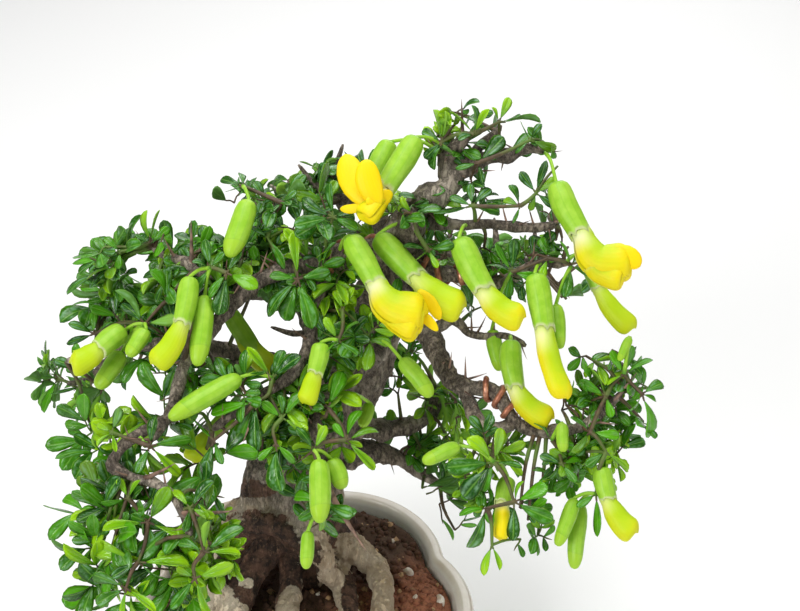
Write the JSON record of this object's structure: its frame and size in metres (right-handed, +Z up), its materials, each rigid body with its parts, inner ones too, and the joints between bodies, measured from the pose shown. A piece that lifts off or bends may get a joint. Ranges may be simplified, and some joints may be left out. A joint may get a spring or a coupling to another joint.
{
  "type": "caragana bonsai in a pot",
  "caption": "Small caragana bonsai in yellow bloom: exposed roots, leaning trunk and a domed crown over a lobed glazed pot.",
  "frame": {"origin": "middle of the pot's flat underside", "axes": "+Z up the tree, +X towards the side that the trunk leans to, -Y towards the front of the tree"},
  "size_m": [0.1537, 0.1389, 0.1777],
  "materials": {
    "glaze": "pale celadon glaze, smooth and half glossy",
    "soil": "moist granular soil, dark brown and rough",
    "drain_mesh": "dark plastic mesh, dull",
    "bark": "rough grey-brown bark, paler tan on the roots",
    "wire": "copper-coloured anodised wire, satin",
    "calyx": "bright yellow-green, satin",
    "petal": "pure yellow with faint veins, soft satin",
    "leaf": "glossy dark green, lime green on the young leaves"
  },
  "bodies": {
    "root": {"soil": "soil", "drain_mesh": "drain_mesh", "pot": "glaze", "wire_right": "wire", "wire_crown": "wire", "wire_middle": "wire", "wood": "bark", "bloom_01_petals": "petal", "bloom_02_petals": "petal", "bloom_03_petals": "petal", "bloom_04_petals": "petal", "bloom_05_petals": "petal", "bloom_06_petals": "petal", "bloom_07_petals": "petal", "bloom_08_petals": "petal", "bloom_09_petals": "petal", "bloom_10_petals": "petal", "bloom_11_petals": "petal", "bloom_12_petals": "petal", "bloom_13_petals": "petal", "bloom_15_petals": "petal", "bloom_16_petals": "petal", "bloom_01_calyx": "calyx", "bloom_02_calyx": "calyx", "bloom_03_calyx": "calyx", "bloom_04_calyx": "calyx", "bloom_05_calyx": "calyx", "bloom_06_calyx": "calyx", "bloom_07_calyx": "calyx", "bloom_08_calyx": "calyx", "bloom_09_calyx": "calyx", "bloom_14": "petal", "spray_far_left": "leaf", "spray_left_side": "leaf", "spray_round_pair": "leaf", "spray_top_left": "leaf", "spray_back_peak": "leaf", "spray_heart": "leaf", "spray_sprout": "leaf", "spray_fork": "leaf", "spray_apex": "leaf", "spray_apex_right": "leaf", "spray_crown": "leaf", "spray_right_middle": "leaf", "spray_right_outer": "leaf", "spray_right_inner": "leaf", "spray_right_low": "leaf", "spray_centre": "leaf", "spray_centre_left": "leaf", "spray_inner_left": "leaf", "spray_left_low": "leaf", "spray_left_hang": "leaf", "spray_left_front": "leaf", "spray_back_left": "leaf", "spray_back_middle": "leaf", "spray_back_right": "leaf", "spray_back_top": "leaf", "spray_left_middle": "leaf", "spray_back_low": "leaf", "spray_back_bend": "leaf"}
  },
  "joints": []
}
